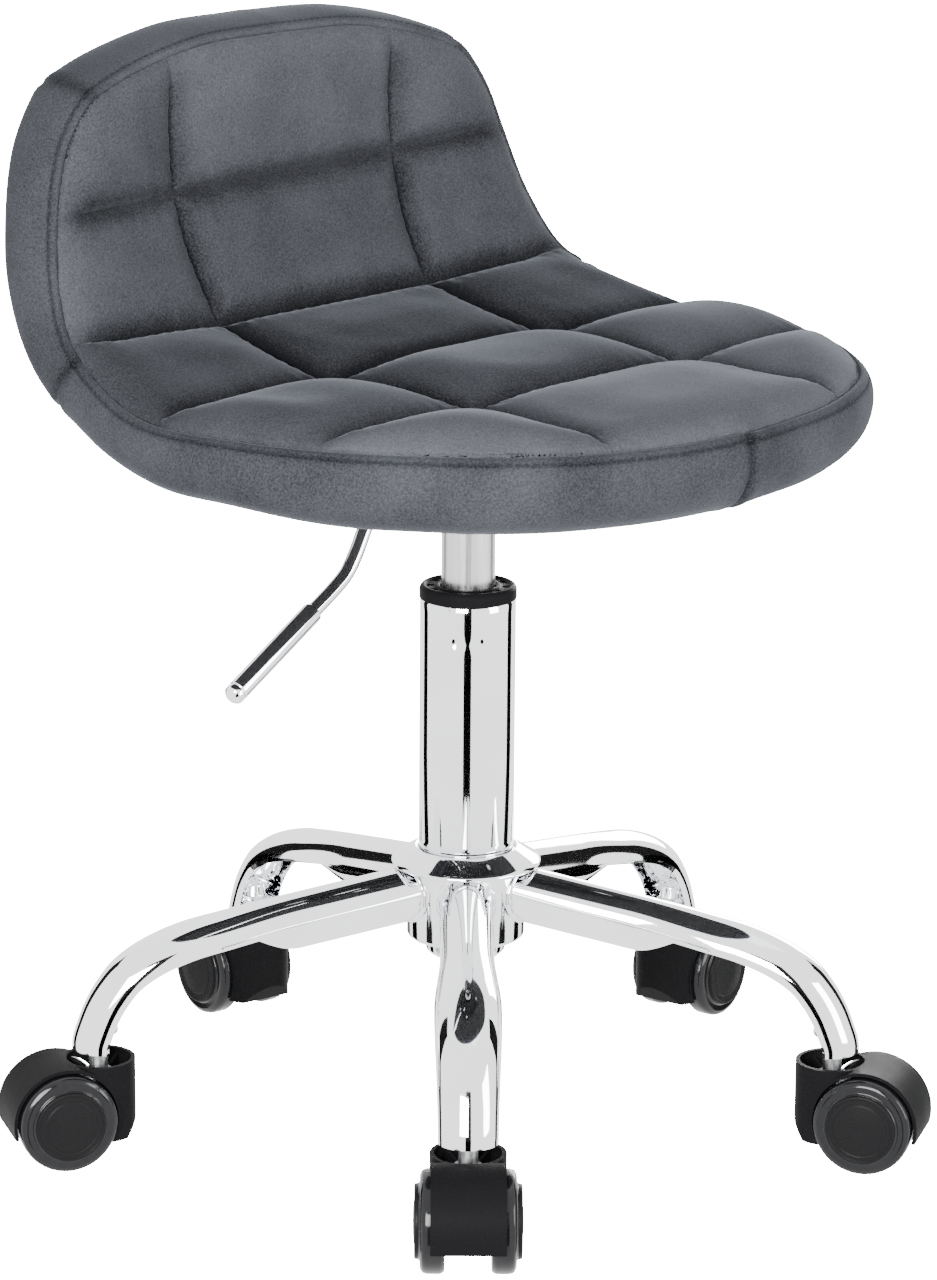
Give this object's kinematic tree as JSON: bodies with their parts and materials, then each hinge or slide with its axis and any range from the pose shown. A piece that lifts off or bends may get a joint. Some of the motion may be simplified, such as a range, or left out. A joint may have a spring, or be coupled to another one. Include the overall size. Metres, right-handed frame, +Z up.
{
  "type": "adjustable swivel stool",
  "caption": "Swivel stool with a tufted velvet seat and low curved back on a gas lift, with a chrome star base, twin-wheel casters and a height lever under the seat",
  "frame": {"origin": "on the floor, on the column's axis", "axes": "+Z up along the column, -Y the way the sitter faces, +X to the sitter's left with the back behind at +Y; seat at its lowest and square to the frame, casters trailing outward"},
  "size_m": [0.4735, 0.484, 0.5753],
  "materials": {
    "chrome": "mirror chrome plating",
    "satin_steel": "fine satin, ground",
    "zinc_steel": "zinc plated, semi-matt",
    "black_plastic": "fine textured charcoal moulding",
    "black_gloss_plastic": "glossy moulding",
    "black_painted_steel": "satin powder coat",
    "velvet": "short-pile velvet with visible nap",
    "foam": "open-cell foam",
    "plywood": "raw moulded plywood",
    "lining": "black woven lining",
    "rubber": "matt rubber",
    "brass": "turned brass"
  },
  "bodies": {
    "base": {"hub_casting": "chrome", "hub_cone_cover": "chrome", "column_outer_tube": "chrome", "column_guide_bush": "black_plastic", "thrust_bearing": "zinc_steel", "leg_1": "chrome", "leg_2": "chrome", "leg_3": "chrome", "leg_4": "chrome", "leg_5": "chrome", "stem_socket_1": "chrome", "stem_socket_2": "chrome", "stem_socket_3": "chrome", "stem_socket_4": "chrome", "stem_socket_5": "chrome"},
    "spindle": {"piston_rod": "satin_steel", "retaining_clip": "zinc_steel", "rubber_bumper": "rubber"},
    "seat": {"gas_cylinder": "satin_steel", "cylinder_seal": "rubber", "plate_socket": "chrome", "seat_plate": "black_painted_steel", "plate_bolt_1": "zinc_steel", "plate_bolt_2": "zinc_steel", "plate_bolt_3": "zinc_steel", "plate_bolt_4": "zinc_steel", "face_pad": "velvet", "foam_core": "foam", "seat_shell": "plywood", "back_cover": "velvet", "bottom_cover": "lining", "boxing_band": "velvet"},
    "lever": {"lever_rod": "chrome", "lever_sleeve": "chrome"},
    "valve": {"valve_button": "brass"},
    "caster_1": {"caster_hood_1": "black_plastic", "caster_stem_1": "zinc_steel", "caster_axle_1": "zinc_steel"},
    "wheel_inner_1": {"caster_wheel_inner_1": "black_gloss_plastic"},
    "wheel_outer_1": {"caster_wheel_outer_1": "black_gloss_plastic"},
    "caster_2": {"caster_hood_2": "black_plastic", "caster_stem_2": "zinc_steel", "caster_axle_2": "zinc_steel"},
    "wheel_inner_2": {"caster_wheel_inner_2": "black_gloss_plastic"},
    "wheel_outer_2": {"caster_wheel_outer_2": "black_gloss_plastic"},
    "caster_3": {"caster_hood_3": "black_plastic", "caster_stem_3": "zinc_steel", "caster_axle_3": "zinc_steel"},
    "wheel_inner_3": {"caster_wheel_inner_3": "black_gloss_plastic"},
    "wheel_outer_3": {"caster_wheel_outer_3": "black_gloss_plastic"},
    "caster_4": {"caster_hood_4": "black_plastic", "caster_stem_4": "zinc_steel", "caster_axle_4": "zinc_steel"},
    "wheel_inner_4": {"caster_wheel_inner_4": "black_gloss_plastic"},
    "wheel_outer_4": {"caster_wheel_outer_4": "black_gloss_plastic"},
    "caster_5": {"caster_hood_5": "black_plastic", "caster_stem_5": "zinc_steel", "caster_axle_5": "zinc_steel"},
    "wheel_inner_5": {"caster_wheel_inner_5": "black_gloss_plastic"},
    "wheel_outer_5": {"caster_wheel_outer_5": "black_gloss_plastic"}
  },
  "joints": [
    {"name": "column_swivel", "type": "hinge", "parent": "base", "child": "spindle", "pos_m": [0, 0, 0.0912], "axis": [0, 0, 1], "continuous": true},
    {"name": "seat_lift", "type": "slide", "parent": "spindle", "child": "seat", "axis": [0, 0, 1], "range_m": [0, 0.105]},
    {"name": "lever_press", "type": "hinge", "parent": "seat", "child": "lever", "pos_m": [-0.052, 0, 0.3545], "axis": [0, 1, 0], "range_deg": [0, 3.3], "stiffness_Nm_per_rad": 1.5},
    {"name": "valve_press", "type": "slide", "parent": "seat", "child": "valve", "axis": [0, 0, -1], "range_m": [0, 0.0031], "stiffness_N_per_m": 400},
    {"name": "caster_swivel_1", "type": "hinge", "parent": "base", "child": "caster_1", "pos_m": [-0.15087, -0.13129, 0.0534], "axis": [0, 0, 1], "continuous": true},
    {"name": "wheel_inner_spin_1", "type": "hinge", "parent": "caster_1", "child": "wheel_inner_1", "pos_m": [-0.16672, -0.14508, 0.0257], "axis": [0.6565, -0.7544, 0], "continuous": true},
    {"name": "wheel_outer_spin_1", "type": "hinge", "parent": "caster_1", "child": "wheel_outer_1", "pos_m": [-0.16672, -0.14508, 0.0257], "axis": [0.6565, -0.7544, 0], "continuous": true},
    {"name": "caster_swivel_2", "type": "hinge", "parent": "base", "child": "caster_2", "pos_m": [0.07824, -0.18406, 0.0534], "axis": [0, 0, 1], "continuous": true},
    {"name": "wheel_inner_spin_2", "type": "hinge", "parent": "caster_2", "child": "wheel_inner_2", "pos_m": [0.08646, -0.20339, 0.0257], "axis": [0.9203, 0.3912, 0], "continuous": true},
    {"name": "wheel_outer_spin_2", "type": "hinge", "parent": "caster_2", "child": "wheel_outer_2", "pos_m": [0.08646, -0.20339, 0.0257], "axis": [0.9203, 0.3912, 0], "continuous": true},
    {"name": "caster_swivel_3", "type": "hinge", "parent": "base", "child": "caster_3", "pos_m": [0.19923, 0.01753, 0.0534], "axis": [0, 0, 1], "continuous": true},
    {"name": "wheel_inner_spin_3", "type": "hinge", "parent": "caster_3", "child": "wheel_inner_3", "pos_m": [0.22015, 0.01938, 0.0257], "axis": [-0.0877, 0.9961, 0], "continuous": true},
    {"name": "wheel_outer_spin_3", "type": "hinge", "parent": "caster_3", "child": "wheel_outer_3", "pos_m": [0.22015, 0.01938, 0.0257], "axis": [-0.0877, 0.9961, 0], "continuous": true},
    {"name": "caster_swivel_4", "type": "hinge", "parent": "base", "child": "caster_4", "pos_m": [0.04489, 0.1949, 0.0534], "axis": [0, 0, 1], "continuous": true},
    {"name": "wheel_inner_spin_4", "type": "hinge", "parent": "caster_4", "child": "wheel_inner_4", "pos_m": [0.0496, 0.21536, 0.0257], "axis": [-0.9745, 0.2244, 0], "continuous": true},
    {"name": "wheel_outer_spin_4", "type": "hinge", "parent": "caster_4", "child": "wheel_outer_4", "pos_m": [0.0496, 0.21536, 0.0257], "axis": [-0.9745, 0.2244, 0], "continuous": true},
    {"name": "caster_swivel_5", "type": "hinge", "parent": "base", "child": "caster_5", "pos_m": [-0.17149, 0.10292, 0.0534], "axis": [0, 0, 1], "continuous": true},
    {"name": "wheel_inner_spin_5", "type": "hinge", "parent": "caster_5", "child": "wheel_inner_5", "pos_m": [-0.18949, 0.11372, 0.0257], "axis": [-0.5146, -0.8574, 0], "continuous": true},
    {"name": "wheel_outer_spin_5", "type": "hinge", "parent": "caster_5", "child": "wheel_outer_5", "pos_m": [-0.18949, 0.11372, 0.0257], "axis": [-0.5146, -0.8574, 0], "continuous": true}
  ],
  "couplings": [
    {"joint": "valve_press", "follows": "lever_press", "m_per_rad": 0.052}
  ]
}
